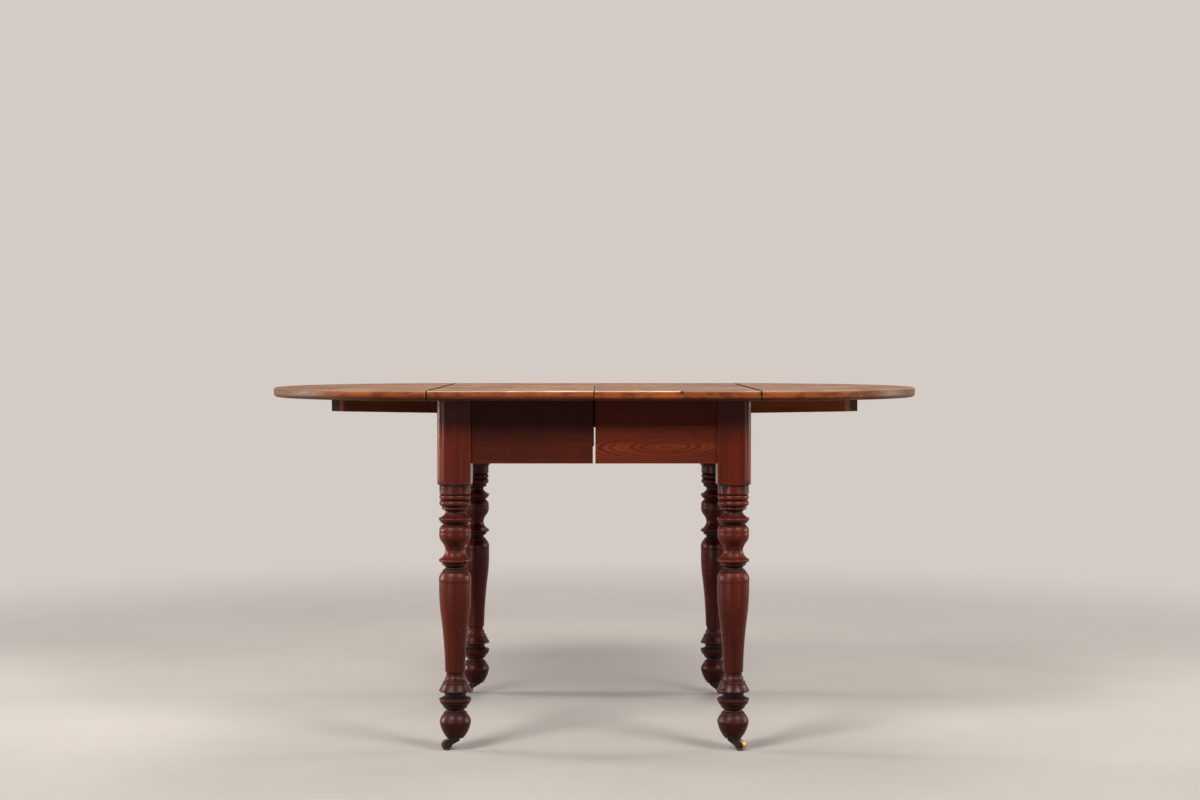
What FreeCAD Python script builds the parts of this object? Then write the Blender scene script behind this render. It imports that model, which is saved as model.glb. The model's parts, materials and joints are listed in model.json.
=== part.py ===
import FreeCAD, Part
import os
import re
import Sketcher

# A drop-leaf extending table on four turned legs with casters.
# The frame has X along the table, Y from front to back and Z up, with the floor at Z = 0.
# The left half stands still, the right half pulls away along X on wooden slides.

os.makedirs("parts", exist_ok=True)
doc = FreeCAD.newDocument("drop_leaf_table")

# Driving dimensions, in millimetres and degrees
sizes = {
    # Top and leaves
    "table_height": 740.0,
    "top_thickness": 20.0,
    "top_depth": 840.0,
    "half_width": 336.0,        # middle seam to hinge line
    "leaf_reach": 368.0,        # hinge line to the tip of a leaf
    "seam_gap": 1.2,
    "hinge_gap": 3.0,
    "edge_round_top": 5.0,
    "edge_round_under": 8.0,
    "inner_board_width": 176.0,
    "leaf_board_width": 205.0,
    # Legs, square block at the top
    "leg_block": 69.0,
    "block_length": 174.0,
    "block_corner_round": 17.0,
    "block_shoulder_rise": 9.0,
    "leg_end_inset": 16.0,      # hinge line to the outer face of a leg
    "leg_front_inset": 56.5,    # edge of the top to the front face of a leg
    # Legs, turned lengths from the foot up
    "bulb_low_length": 32.0,
    "bulb_high_length": 14.0,
    "bulb_ring_length": 3.0,
    "quirk_length": 1.5,
    "foot_cove_length": 6.0,
    "foot_step_length": 5.0,
    "foot_flare_length": 12.0,
    "rim_length": 3.5,
    "foot_hollow_length": 5.5,
    "waist_length": 7.0,
    "bell_lip_length": 2.5,
    "bell_flare_length": 11.0,
    "bell_step_length": 4.5,
    "bell_neck_length": 10.0,
    "ankle_length": 7.0,
    "shaft_swell_length": 77.0,
    "shoulder_length": 21.2,
    "shoulder_ring_length": 3.0,
    "knee_cove_length": 5.6,
    "knee_flare_length": 4.5,
    "knee_step_length": 4.0,
    "knee_lip_length": 3.5,
    "knee_rim_length": 4.2,
    "knee_hollow_length": 18.0,
    "vase_low_length": 16.5,
    "vase_swell_length": 21.0,
    "vase_top_length": 15.5,
    "ring_lip_length": 9.0,
    "ring_hollow_length": 10.5,
    "top_neck_length": 3.5,
    "top_step_length": 3.5,
    "fillet_length": 5.5,
    "bead_length": 12.0,
    "collar_length": 18.0,
    # Legs, turned radii
    "foot_radius": 19.4,
    "bulb_radius": 32.5,
    "bulb_quirk_radius": 25.4,
    "foot_neck_radius": 18.0,
    "foot_step_radius": 25.2,
    "rim_radius": 32.5,
    "waist_radius": 22.0,
    "bell_step_radius": 26.8,
    "bell_quirk_radius": 23.0,
    "ankle_radius": 18.2,
    "shaft_low_radius": 20.7,
    "shaft_mid_radius": 28.0,
    "shaft_top_radius": 32.7,
    "shoulder_radius": 27.5,
    "neck_radius": 19.5,
    "step_radius": 25.8,
    "vase_foot_radius": 26.4,
    "vase_radius": 32.0,
    "vase_top_radius": 24.3,
    "groove_radius": 28.0,
    "collar_radius": 31.7,
    # Aprons and the blocks behind them
    "apron_height": 129.0,
    "apron_thickness": 22.0,
    "apron_setback": 5.0,
    "apron_slit": 5.0,
    "tenon_length": 22.0,
    "tenon_thickness": 10.0,
    "tenon_shoulder": 14.0,
    "joint_clearance": 0.1,
    "glue_block": 24.0,
    "glue_block_length": 70.0,
    "end_block_offset": 73.7,   # inner slide to the middle of a block
    "side_block_offset": 120.0,
    # Extension slides
    "slide_length": 528.0,
    "slide_thickness": 26.0,
    "slide_height": 52.0,
    "slide_lift": 6.0,          # a rail rides this far below the other half of the top
    "slide_end_gap": 10.0,      # the frame leaves at least this beyond the ends of the slides
    "slide_leg_gap": 4.0,
    "slide_clearance": 0.4,
    "tongue_depth": 8.0,
    "tongue_root": 14.0,
    "tongue_tip": 20.0,
    "slide_pad_end": 18.0,      # middle seam to the near end of a rail's raised part
    "slide_screw_offset": 35.0,  # end of a slide to its first screw
    "slide_screw_spacing": 72.0,
    # Dowels in the middle seam
    "dowel_radius": 5.0,
    "dowel_reach": 20.0,
    "dowel_offset": 300.0,
    "dowel_clearance": 0.3,
    # Leaf hinges
    "hinge_offset": 56.5,       # inner face of a leg to the middle of a hinge
    "hinge_length": 60.0,
    "hinge_drop": 3.5,          # underside of the top to the hinge axis
    "knuckle_radius": 3.5,
    "knuckle_gap": 0.4,
    "hinge_plate": 2.0,
    "fixed_plate_reach": 33.0,
    "leaf_plate_reach": 50.0,
    "hinge_pin_radius": 1.8,
    "pin_clearance": 0.05,
    "hinge_screw_spacing": 20.0,
    # Turning bars that hold the leaves up
    "bar_pivot_reach": 119.0,   # hinge line to the pivot
    "bar_inner_reach": 131.0,   # pivot to the inner nose
    "bar_outer_reach": 126.5,   # pivot to the outer end
    "bar_width": 40.0,
    "bar_inner_height": 38.0,
    "bar_outer_height": 34.0,
    "bar_relief": 3.0,
    "bar_relief_length": 42.0,
    "bar_bevel": 14.0,
    "bar_bevel_length": 30.0,
    "pivot_radius": 3.0,
    "pivot_head_radius": 6.5,
    "pivot_head": 3.5,
    "pivot_head_seat": 30.0,    # leaf underside to the seat of the pivot's head
    "pivot_clearance": 0.1,
    "seat_clearance": 0.3,
    # Round-headed screws
    "screw_radius": 1.5,
    "screw_head_radius": 3.0,
    "screw_head": 1.2,
    "screw_grip": 11.0,
    # Casters
    "caster_height": 28.0,
    "caster_plate": 2.5,
    "caster_plate_radius": 18.0,
    "caster_screw_circle": 13.0,
    "socket_radius": 6.0,
    "socket_length": 34.0,
    "stem_radius": 4.0,
    "stem_clearance": 0.05,
    "wheel_radius": 11.0,
    "wheel_width": 12.0,
    "wheel_edge_round": 2.0,
    "wheel_side_gap": 0.6,
    "caster_trail": 18.0,
    "cheek_thickness": 2.5,
    "crown_reach": 8.0,
    "crown_height": 5.0,
    "boss_radius": 5.0,
    "axle_radius": 1.9,
    "axle_head": 1.2,
    "axle_head_radius": 3.2,
    "front_left_heading": 190.0,
    "front_right_heading": -35.0,
    "back_left_heading": 160.0,
    "back_right_heading": -30.0,
}

sheet = doc.addObject("Spreadsheet::Sheet", "Sizes")
for row, (alias, number) in enumerate(sizes.items(), start=1):
    sheet.set(f"A{row}", alias)
    sheet.set(f"B{row}", str(number))
    sheet.setAlias(f"B{row}", alias)
doc.recompute()

# Sizes that follow from the driving ones
underside = "(table_height - top_thickness)"
slide_room = "slide_length / 2 + slide_end_gap + (apron_thickness + leg_block) / 2 + leg_end_inset"
hinge_x = f"max(half_width; {slide_room})"
leg_x = f"({hinge_x} - leg_end_inset - leg_block / 2)"
leg_y = "(top_depth / 2 - leg_front_inset - leg_block / 2)"
leg_inner_x = f"({leg_x} - leg_block / 2)"
leg_inner_y = f"({leg_y} - leg_block / 2)"
block_bottom = f"({underside} - block_length)"
apron_bottom = f"({underside} - apron_height)"
side_apron_face = f"({leg_y} + leg_block / 2 - apron_setback)"
end_apron_inner = f"({leg_x} - apron_thickness / 2)"
slide_top = f"({underside} - slide_lift)"
slide_outer_y = f"({leg_inner_y} - slide_leg_gap)"
slide_middle_y = f"({slide_outer_y} - slide_clearance - slide_thickness * 3 / 2)"
slide_inner_y = f"({slide_middle_y} - slide_clearance - slide_thickness * 3 / 2)"
hinge_y = f"({leg_inner_y} - hinge_offset)"
hinge_z = f"({underside} - hinge_drop)"
bar_pivot_x = f"({hinge_x} + bar_pivot_reach)"
fork_half_width = "(wheel_width / 2 + wheel_side_gap + cheek_thickness)"
crown_top = "(caster_height - caster_plate - seat_clearance)"

vector = FreeCAD.Vector
half_turn = 180
nodes = []


def bound(text):
    """Write an expression with its sizes read from the sheet."""
    def from_sheet(word):
        return f"Sizes.{word.group()}" if word.group() in sizes else word.group()
    return re.sub(r"[a-z][a-z_]+", from_sheet, text)


def value(text):
    """What an expression of the sizes comes to now."""
    return float(sheet.evalExpression(text))


def bind(thing, **properties):
    for name, text in properties.items():
        thing.setExpression(name, bound(text))


def put(thing, x="0", y="0", z="0"):
    for letter, text in zip("xyz", (x, y, z)):
        thing.setExpression(f"Placement.Base.{letter}", bound(text))


def box(name, low, spans):
    thing = doc.addObject("Part::Box", name)
    bind(thing, Length=spans[0], Width=spans[1], Height=spans[2])
    put(thing, *low)
    return thing


def rod(name, start, radius, length, axis="z"):
    """A cylinder that runs from its start along +X, +Y or +Z."""
    thing = doc.addObject("Part::Cylinder", name)
    bind(thing, Radius=radius, Height=length)
    directions = {"x": vector(1, 0, 0), "y": vector(0, 1, 0), "z": vector(0, 0, 1)}
    thing.Placement = FreeCAD.Placement(vector(), FreeCAD.Rotation(vector(0, 0, 1), directions[axis]))
    put(thing, *start)
    return thing


def group(name, members):
    thing = doc.addObject("Part::Compound", name)
    thing.Links = members
    return thing


def fuse(name, members):
    thing = doc.addObject("Part::MultiFuse", name)
    thing.Shapes = members
    return thing


def cut(name, base, tools):
    thing = doc.addObject("Part::Cut", name)
    thing.Base = base
    thing.Tool = tools[0] if len(tools) == 1 else group(f"{name}_tools", tools)
    return thing


def common(name, base, tool):
    thing = doc.addObject("Part::Common", name)
    thing.Base = base
    thing.Tool = tool
    return thing


def node(label, things, turn=0, x="0", y="0", heading=None):
    """Set one piece, or a group of like pieces, in its place under its own name."""
    placed = group(label, things)
    angle = value(heading) if heading else turn
    placed.Placement = FreeCAD.Placement(vector(), FreeCAD.Rotation(vector(0, 0, 1), angle))
    put(placed, x, y)
    if heading:
        placed.setExpression("Placement.Rotation.Angle", bound(heading))
    nodes.append(placed)


def at_left_legs(thing):
    """Two copies of a piece, on the axes of the front and back legs of the left half."""
    copies = []
    for end in (-1, 1):
        placed = group(f"{thing.Name}_copy", [thing])
        put(placed, f"-{leg_x}", f"{end} * {leg_y}")
        copies.append(placed)
    return copies


def mirrored(name, thing):
    """The other hand of a piece."""
    other = doc.addObject("Part::Mirroring", name)
    other.Source = thing
    other.Normal = vector(1, 0, 0)
    return other


def fix_coordinate(sketch, kind, edge, point, text):
    """Hold one coordinate of an edge's end at the value of an expression."""
    now = value(text)
    if abs(now) < 1e-9:
        axis = -2 if kind == "DistanceX" else -1
        sketch.addConstraint(Sketcher.Constraint("PointOnObject", edge, point, axis))
    elif now > 0:
        number = sketch.addConstraint(Sketcher.Constraint(kind, -1, 1, edge, point, now))
        sketch.setExpression(f"Constraints[{number}]", bound(text))
    else:
        number = sketch.addConstraint(Sketcher.Constraint(kind, edge, point, -1, 1, -now))
        sketch.setExpression(f"Constraints[{number}]", bound(f"-({text})"))


def outline(sketch, corners):
    """Draw a closed outline. A corner is (across, up) or (across, up, bulge), where bulge is how
    far the edge to the next corner swells to the right of its direction."""
    corners = [corner if len(corner) == 3 else (*corner, None) for corner in corners]
    points = [vector(value(across), value(up), 0) for across, up, bulge in corners]
    ends = []
    for corner, start, stop in zip(corners, points, points[1:] + points[:1]):
        if corner[2] is None:
            edge = sketch.addGeometry(Part.LineSegment(start, stop))
            ends.append((edge, 1, 2))
            continue
        bulge = value(corner[2])
        along = (stop - start).normalize()
        middle = (start + stop) * 0.5 + vector(along.y, -along.x, 0) * bulge
        edge = sketch.addGeometry(Part.Arc(start, middle, stop))
        ends.append((edge, 1, 2) if bulge > 0 else (edge, 2, 1))
    following = ends[1:] + ends[:1]
    for (edge, first, last), (other, other_first, other_last) in zip(ends, following):
        sketch.addConstraint(Sketcher.Constraint("Coincident", edge, last, other, other_first))
    for (edge, first, last), corner in zip(ends, corners):
        fix_coordinate(sketch, "DistanceX", edge, first, corner[0])
        fix_coordinate(sketch, "DistanceY", edge, first, corner[1])
    for index, corner in enumerate(corners):
        if corner[2] is None:
            continue
        across, up, bulge = corner
        next_across, next_up, next_bulge = corners[(index + 1) % len(corners)]
        chord_square = f"(({next_across} - ({across}))^2 + ({next_up} - ({up}))^2)"
        radius = f"({chord_square} / 4 + ({bulge})^2) / (2 * abs({bulge}))"
        edge = ends[index][0]
        number = sketch.addConstraint(Sketcher.Constraint("Radius", edge, value(radius)))
        sketch.setExpression(f"Constraints[{number}]", bound(radius))


def sketch_on(body, role, corners, lift="0"):
    plane = next(part for part in body.Origin.OriginFeatures if part.Role == role)
    sketch = body.newObject("Sketcher::SketchObject", f"{body.Name}_outline")
    sketch.AttachmentSupport = [(plane, "")]
    sketch.MapMode = "FlatFace"
    sketch.setExpression("AttachmentOffset.Base.z", bound(lift))
    outline(sketch, corners)
    return sketch


def new_body(name):
    return doc.addObject("PartDesign::Body", name)


def padded(name, role, corners, length, lift="0"):
    """A body that is one outline, padded along its plane's normal."""
    body = new_body(name)
    pad = body.newObject("PartDesign::Pad", f"{name}_pad")
    pad.Profile = sketch_on(body, role, corners, lift)
    bind(pad, Length=length)
    return body


def turned(body, corners, kind="PartDesign::Revolution"):
    """Spin an outline of radii and heights about the body's Z axis."""
    sketch = sketch_on(body, "XZ_Plane", corners)
    feature = body.newObject(kind, f"{body.Name}_turned")
    feature.Profile = sketch
    feature.ReferenceAxis = (sketch, ["V_Axis"])
    feature.Angle = 360
    return feature


quarter_bulge = "(1 - sqrt(0.5))"


def board_section():
    """The end view of a top board: rounded along its front and back edges."""
    low, high, half = underside, "table_height", "top_depth / 2"
    under, over = "edge_round_under", "edge_round_top"
    return [
        (f"-{half} + {under}", low),
        (f"{half} - {under}", low, f"{under} * {quarter_bulge}"),
        (half, f"{low} + {under}"),
        (half, f"{high} - {over}", f"{over} * {quarter_bulge}"),
        (f"{half} - {over}", high),
        (f"-{half} + {over}", high, f"{over} * {quarter_bulge}"),
        (f"-{half}", f"{high} - {over}"),
        (f"-{half}", f"{low} + {under}", f"{under} * {quarter_bulge}"),
    ]


def pilot_holes(name, places, depth="screw_grip"):
    """Screw holes drilled up into the underside of a board."""
    radius = "screw_radius + joint_clearance"
    return [rod(f"{name}_hole", (x, y, underside), radius, depth) for x, y in places]


def screw(name, x, y, seat):
    """A round-headed screw driven up from below, whose head bears on the seat height."""
    head = rod(f"{name}_head", (x, y, f"{seat} - screw_head"), "screw_head_radius", "screw_head")
    shank_length = f"{underside} - ({seat}) + screw_grip - joint_clearance"
    shank = rod(f"{name}_shank", (x, y, seat), "screw_radius", shank_length)
    return fuse(name, [head, shank])


def slide_screw_places():
    """Three screws in a row through the raised part of each rail of the left half."""
    row = f"{slide_outer_y} - slide_thickness / 2"
    outer_rail_y = f"-({row})"
    inner_rail_y = f"{row} - 2 * (slide_thickness + slide_clearance)"
    along = [f"slide_screw_offset + {count} * slide_screw_spacing - slide_length / 2" for count in range(3)]
    return [(x, y) for y in (outer_rail_y, inner_rail_y) for x in along]


def block_screw_places():
    end_row = f"-({end_apron_inner} - glue_block / 2)"
    side_row = f"({side_apron_face} - apron_thickness - glue_block / 2)"
    end_block_y = f"({slide_inner_y} - end_block_offset)"
    return [
        (end_row, f"-{end_block_y}"),
        (end_row, end_block_y),
        ("-side_block_offset", f"-{side_row}"),
        ("-side_block_offset", side_row),
    ]


def hinge_screw_places(reach):
    """Three screws in each hinge plate, at this distance outboard of the hinge line."""
    x = f"-({hinge_x} + ({reach}))"
    along = [f"{end} * {hinge_y} + {count} * hinge_screw_spacing"
             for end in (-1, 1) for count in (-1, 0, 1)]
    return [(x, y) for y in along]


fixed_screw_reach = "-fixed_plate_reach * 2 / 3"
leaf_screw_reach = "leaf_plate_reach * 2 / 3"


def seam_dowel_places():
    return [f"{count} * dowel_offset" for count in (-1, 0, 1)]


def inner_board(name, dowel_fit):
    width = "inner_board_width - seam_gap / 2"
    board = padded(name, "YZ_Plane", board_section(), width, "-inner_board_width")
    middle = "table_height - top_thickness / 2"
    depth = f"dowel_reach + {dowel_fit}"
    holes = [
        rod(f"{name}_dowel_hole", (f"-({depth})", y, middle), f"dowel_radius + {dowel_fit}", depth, "x")
        for y in seam_dowel_places()
    ]
    inside = [place for place in slide_screw_places() + block_screw_places()
              if abs(value(place[0])) < value("inner_board_width")]
    return cut(f"{name}_bored", board, holes + pilot_holes(name, inside))


def outer_board():
    name = "OuterBoard"
    width = f"{hinge_x} - hinge_gap / 2 - inner_board_width"
    board = padded(name, "YZ_Plane", board_section(), width, f"-({hinge_x} - hinge_gap / 2)")
    places = slide_screw_places() + block_screw_places() + hinge_screw_places(fixed_screw_reach)
    outside = [place for place in places if abs(value(place[0])) > value("inner_board_width")]
    return cut(f"{name}_bored", board, pilot_holes(name, outside))


def leaf_plate(name):
    """A whole oval board centred on the left hinge line, rounded all the way round."""
    oval = doc.addObject("Part::Ellipse", f"{name}_oval")
    deep = value("top_depth / 2") >= value("leaf_reach")
    major, minor = ("top_depth / 2", "leaf_reach") if deep else ("leaf_reach", "top_depth / 2")
    bind(oval, MajorRadius=major, MinorRadius=minor)
    oval.Placement = FreeCAD.Placement(vector(), FreeCAD.Rotation(vector(0, 0, 1), 90 if deep else 0))
    put(oval, f"-{hinge_x}", "0", underside)
    plate = doc.addObject("Part::Extrusion", f"{name}_plate")
    plate.Base = oval
    plate.Dir = vector(0, 0, 1)
    plate.Solid = True
    bind(plate, LengthFwd="top_thickness")
    doc.recompute()
    rounded = doc.addObject("Part::Fillet", f"{name}_rounded")
    rounded.Base = plate
    rims = []
    for number, edge in enumerate(plate.Shape.Edges, start=1):
        if isinstance(edge.Curve, Part.Ellipse):
            upper = edge.CenterOfMass.z > value(f"{underside} + top_thickness / 2")
            radius = value("edge_round_top" if upper else "edge_round_under")
            rims.append((number, radius, radius))
    rounded.Edges = rims
    return rounded


def leaf_boards():
    """The inner and outer board of a leaf, sawn from one oval."""
    name = "Leaf"
    plate = leaf_plate(name)
    half = "top_depth / 2"
    split = f"-({hinge_x} + leaf_board_width)"
    inner_width = "leaf_board_width - hinge_gap / 2"
    outer_width = "leaf_reach - leaf_board_width"
    inner_low = (split, f"-{half}", underside)
    inner = box(f"{name}_inner_zone", inner_low, (inner_width, "top_depth", "top_thickness"))
    outer_low = (f"-({hinge_x} + leaf_reach)", f"-{half}", underside)
    outer = box(f"{name}_outer_zone", outer_low, (outer_width, "top_depth", "top_thickness"))
    pivot = rod(f"{name}_pivot_hole", (f"-{bar_pivot_x}", "0", underside),
                "pivot_radius + joint_clearance", "screw_grip")
    holes = pilot_holes(name, hinge_screw_places(leaf_screw_reach)) + [pivot]
    inner_half = common(f"{name}_inner", plate, inner)
    return cut(f"{name}_inner_bored", inner_half, holes), common(f"{name}_outer", plate, outer)


# How far a turned length swells beyond a straight line, as a share of the length
half_round, bead, swell, belly, sweep = 0.32, 0.2, 0.12, 0.075, 0.022
straight, dish, cove = 0, -0.013, -0.16


def turning():
    """The turned lengths of a leg from the foot up: length, radius at its top, curve."""
    foot = [
        ("bulb_low_length", "bulb_radius", belly),
        ("bulb_high_length", "bulb_quirk_radius", belly),
        ("quirk_length", "bulb_quirk_radius - quirk_length", straight),
        ("bulb_ring_length", "bulb_quirk_radius - 2 * quirk_length", half_round),
        ("foot_cove_length", "foot_neck_radius", cove),
        ("foot_step_length", "foot_step_radius", bead),
        ("quirk_length", "foot_step_radius - quirk_length / 2", straight),
        ("foot_flare_length", "rim_radius", swell),
        ("rim_length", "rim_radius", bead),
        ("foot_hollow_length", "waist_radius", cove),
        ("waist_length", "waist_radius", straight),
        ("bell_lip_length", "rim_radius", cove),
        ("rim_length", "rim_radius", bead),
        ("bell_flare_length", "bell_step_radius", -sweep),
        ("quirk_length", "bell_step_radius - quirk_length", straight),
        ("bell_step_length", "bell_quirk_radius", half_round),
        ("quirk_length", "bell_quirk_radius - quirk_length", straight),
        ("bell_neck_length", "ankle_radius", swell),
        ("ankle_length", "ankle_radius", straight),
        ("quirk_length", "shaft_low_radius", straight),
    ]
    head = [
        ("shaft_swell_length", "shaft_top_radius", sweep),
        ("shoulder_length", "shoulder_radius", swell),
        ("quirk_length", "shoulder_radius - 2 * quirk_length", straight),
        ("shoulder_ring_length", "shoulder_radius - 2 * quirk_length", half_round),
        ("knee_cove_length", "neck_radius", cove),
        ("knee_flare_length", "step_radius", cove),
        ("knee_step_length", "step_radius", bead),
        ("knee_lip_length", "rim_radius", straight),
        ("knee_rim_length", "rim_radius", swell),
        ("knee_hollow_length", "neck_radius", cove),
        ("vase_low_length", "vase_foot_radius", cove / 2),
        ("vase_swell_length", "vase_radius", swell),
        ("vase_top_length", "vase_top_radius", bead),
        ("quirk_length", "vase_top_radius", straight),
        ("ring_lip_length", "rim_radius", swell),
        ("rim_length", "rim_radius", bead),
        ("ring_hollow_length", "neck_radius", cove),
        ("top_neck_length", "neck_radius", straight),
        ("top_step_length", "step_radius", cove),
        ("fillet_length", "step_radius", bead),
        ("quirk_length", "groove_radius", straight),
        ("bead_length", "groove_radius", half_round),
        ("bead_length", "groove_radius", half_round),
        ("quirk_length", "collar_radius", straight),
        ("collar_length", "collar_radius", straight),
    ]
    fixed = " - ".join(length for length, radius, curve in foot + head)
    shaft = (f"({block_bottom} - caster_height - {fixed})", "shaft_mid_radius", dish)
    return foot + [shaft] + head


def leg_profile():
    corners = [("0", "caster_height")]
    radius, height = "foot_radius", "caster_height"
    for length, next_radius, curve in turning():
        corners.append((radius, height, f"{curve} * {length}") if curve else (radius, height))
        radius, height = next_radius, f"{height} + {length}"
    corners.append((radius, height))
    corners.append(("0", height))
    return corners


def leg():
    """The front left leg, on its own axis."""
    name = "Leg"
    body = new_body(name)
    half = "leg_block / 2"
    rounding = "block_corner_round"
    corners = [(f"-{half}", f"-{half} + {rounding}", f"{rounding} * {quarter_bulge}"),
               (f"-{half} + {rounding}", f"-{half}"), (half, f"-{half}"), (half, half), (f"-{half}", half)]
    block = body.newObject("PartDesign::Pad", f"{name}_block")
    block.Profile = sketch_on(body, "XY_Plane", corners, block_bottom)
    bind(block, Length="block_length")
    doc.recompute()
    square_volume = body.Shape.Volume
    reach = "leg_block"
    shoulder = [("collar_radius", block_bottom), (reach, block_bottom),
                (reach, f"{block_bottom} + 2 * block_shoulder_rise", "-block_shoulder_rise / 4")]
    turned(body, shoulder, "PartDesign::Groove")
    doc.recompute()
    if body.Shape.Volume >= square_volume:
        raise RuntimeError("the shoulder of the leg's block was not cut")
    turned(body, leg_profile())
    side_tenon_y = f"-({side_apron_face} - {leg_y} - apron_thickness / 2)"
    slack = "joint_clearance"
    mortise_low = f"{apron_bottom} + tenon_shoulder - {slack}"
    mortise_height = f"apron_height - 2 * tenon_shoulder + 2 * {slack}"
    mortise_depth = f"(tenon_length + {slack})"
    mortise_width = f"tenon_thickness + 2 * {slack}"
    start = f"leg_block / 2 - {mortise_depth}"
    across = f"-tenon_thickness / 2 - {slack}"
    side_low = (start, f"{side_tenon_y} {across}", mortise_low)
    side_mortise = box(f"{name}_side_mortise", side_low, (mortise_depth, mortise_width, mortise_height))
    end_low = (across, start, mortise_low)
    end_mortise = box(f"{name}_end_mortise", end_low, (mortise_width, mortise_depth, mortise_height))
    foot = ("0", "0", "caster_height")
    bore = rod(f"{name}_bore", foot, f"socket_radius + {slack}", f"socket_length + {slack}")
    pilots = [rod(f"{name}_pilot", (x, y, "caster_height"), f"screw_radius + {slack}", "screw_grip")
              for x, y in caster_screw_places()]
    return cut(f"{name}_bored", body, [side_mortise, end_mortise, bore] + pilots)


def caster_screw_places():
    """Three screws round a caster plate: one towards the middle of the block, two beside it."""
    back, aside = "-caster_screw_circle / 2", "caster_screw_circle * sqrt(3) / 2"
    return [("caster_screw_circle", "0"), (back, aside), (back, f"-{aside}")]


def side_apron(name, hand):
    """A half-length front apron, tenoned into its leg and free at the middle slit."""
    length = f"{leg_inner_x} - apron_slit / 2"
    outer = f"-{side_apron_face}"
    start = f"-{leg_inner_x}" if hand < 0 else "apron_slit / 2"
    board = box(f"{name}_board", (start, outer, apron_bottom), (length, "apron_thickness", "apron_height"))
    tenon_start = f"-{leg_inner_x} - tenon_length" if hand < 0 else leg_inner_x
    tenon_low = (tenon_start, f"{outer} + (apron_thickness - tenon_thickness) / 2",
                 f"{apron_bottom} + tenon_shoulder")
    tenon = box(f"{name}_tenon", tenon_low,
                ("tenon_length", "tenon_thickness", "apron_height - 2 * tenon_shoulder"))
    return fuse(name, [board, tenon])


def end_apron():
    """An apron between the two legs of one end, with a tenon at each end."""
    name = "EndApron"
    outer = f"-({leg_x} + apron_thickness / 2)"
    board = box(f"{name}_board", (outer, f"-{leg_inner_y}", apron_bottom),
                ("apron_thickness", f"2 * {leg_inner_y}", "apron_height"))
    tenon_x = f"{outer} + (apron_thickness - tenon_thickness) / 2"
    tenon_low = (tenon_x, f"-{leg_inner_y} - tenon_length", f"{apron_bottom} + tenon_shoulder")
    tenon_span = f"2 * ({leg_inner_y} + tenon_length)"
    tenon = box(f"{name}_tenon", tenon_low,
                ("tenon_thickness", tenon_span, "apron_height - 2 * tenon_shoulder"))
    return fuse(name, [board, tenon])


def glue_blocks():
    """Blocks in the corner under the top, two on the end apron and one on each side apron."""
    name = "GlueBlocks"
    members = []
    for place, (x, y) in enumerate(block_screw_places()):
        on_end = place < 2
        span_x = "glue_block" if on_end else "glue_block_length"
        span_y = "glue_block_length" if on_end else "glue_block"
        low = (f"{x} - {span_x} / 2", f"{y} - {span_y} / 2", f"{underside} - glue_block")
        block = box(f"{name}_block", low, (span_x, span_y, "glue_block"))
        hole = rod(f"{name}_hole", (x, y, low[2]), "screw_radius + joint_clearance", "glue_block")
        members.append(cut(f"{name}_bored", block, [hole]))
    return group(name, members)


def rail_section():
    """The end view of an outer rail, with a dovetail groove in its inner side."""
    outer, inner = f"-{slide_outer_y}", f"-{slide_outer_y} + slide_thickness"
    low = f"{slide_top} - slide_height"
    middle = f"{slide_top} - slide_height / 2"
    deep = f"{inner} - tongue_depth - slide_clearance"
    root = "tongue_root / 2 + slide_clearance"
    tip = "tongue_tip / 2 + slide_clearance"
    return [
        (outer, low), (inner, low), (inner, f"{middle} - ({root})"), (deep, f"{middle} - ({tip})"),
        (deep, f"{middle} + {tip}"), (inner, f"{middle} + {root}"), (inner, slide_top), (outer, slide_top),
    ]


def fixed_slide():
    """The front rail screwed to the left half of the top by its raised part."""
    name = "FixedSlide"
    rail = padded(f"{name}_rail", "YZ_Plane", rail_section(), "slide_length", "-slide_length / 2")
    pad_low = ("-slide_length / 2", f"-{slide_outer_y}", slide_top)
    pad_length = "slide_length / 2 - slide_pad_end"
    raised = box(f"{name}_raised", pad_low, (pad_length, "slide_thickness", "slide_lift"))
    places = slide_screw_places()[:3]
    low = f"{slide_top} - slide_height"
    holes = [rod(f"{name}_hole", (x, y, low), "screw_radius + joint_clearance", "slide_height + slide_lift")
             for x, y in places]
    wells = [rod(f"{name}_well", (x, y, low), "screw_head_radius + seat_clearance", "slide_height / 4")
             for x, y in places]
    return cut(f"{name}_bored", fuse(name, [rail, raised]), holes + wells)


def middle_slide():
    """The loose rail between two fixed ones, with a dovetail tongue along each side."""
    name = "MiddleSlide"
    half = "slide_thickness / 2"
    low = f"{slide_top} - slide_height"
    middle = f"{slide_top} - slide_height / 2"
    near, far = f"-{slide_middle_y} - {half}", f"-{slide_middle_y} + {half}"
    root, tip = "tongue_root / 2", "tongue_tip / 2"
    section = [
        (near, low), (far, low), (far, f"{middle} - {root}"), (f"{far} + tongue_depth", f"{middle} - {tip}"),
        (f"{far} + tongue_depth", f"{middle} + {tip}"), (far, f"{middle} + {root}"), (far, slide_top),
        (near, slide_top), (near, f"{middle} + {root}"), (f"{near} - tongue_depth", f"{middle} + {tip}"),
        (f"{near} - tongue_depth", f"{middle} - {tip}"), (near, f"{middle} - {root}"),
    ]
    return padded(name, "YZ_Plane", section, "slide_length", "-slide_length / 2")


def underside_screws():
    """The screws up through the slides and glue blocks of one half."""
    name = "UndersideScrews"
    rail_seat = f"{slide_top} - slide_height * 3 / 4"
    members = [screw(f"{name}_screw", x, y, rail_seat) for x, y in slide_screw_places()]
    block_seat = f"{underside} - glue_block"
    members += [screw(f"{name}_screw", x, y, block_seat) for x, y in block_screw_places()]
    return group(name, members)


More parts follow.
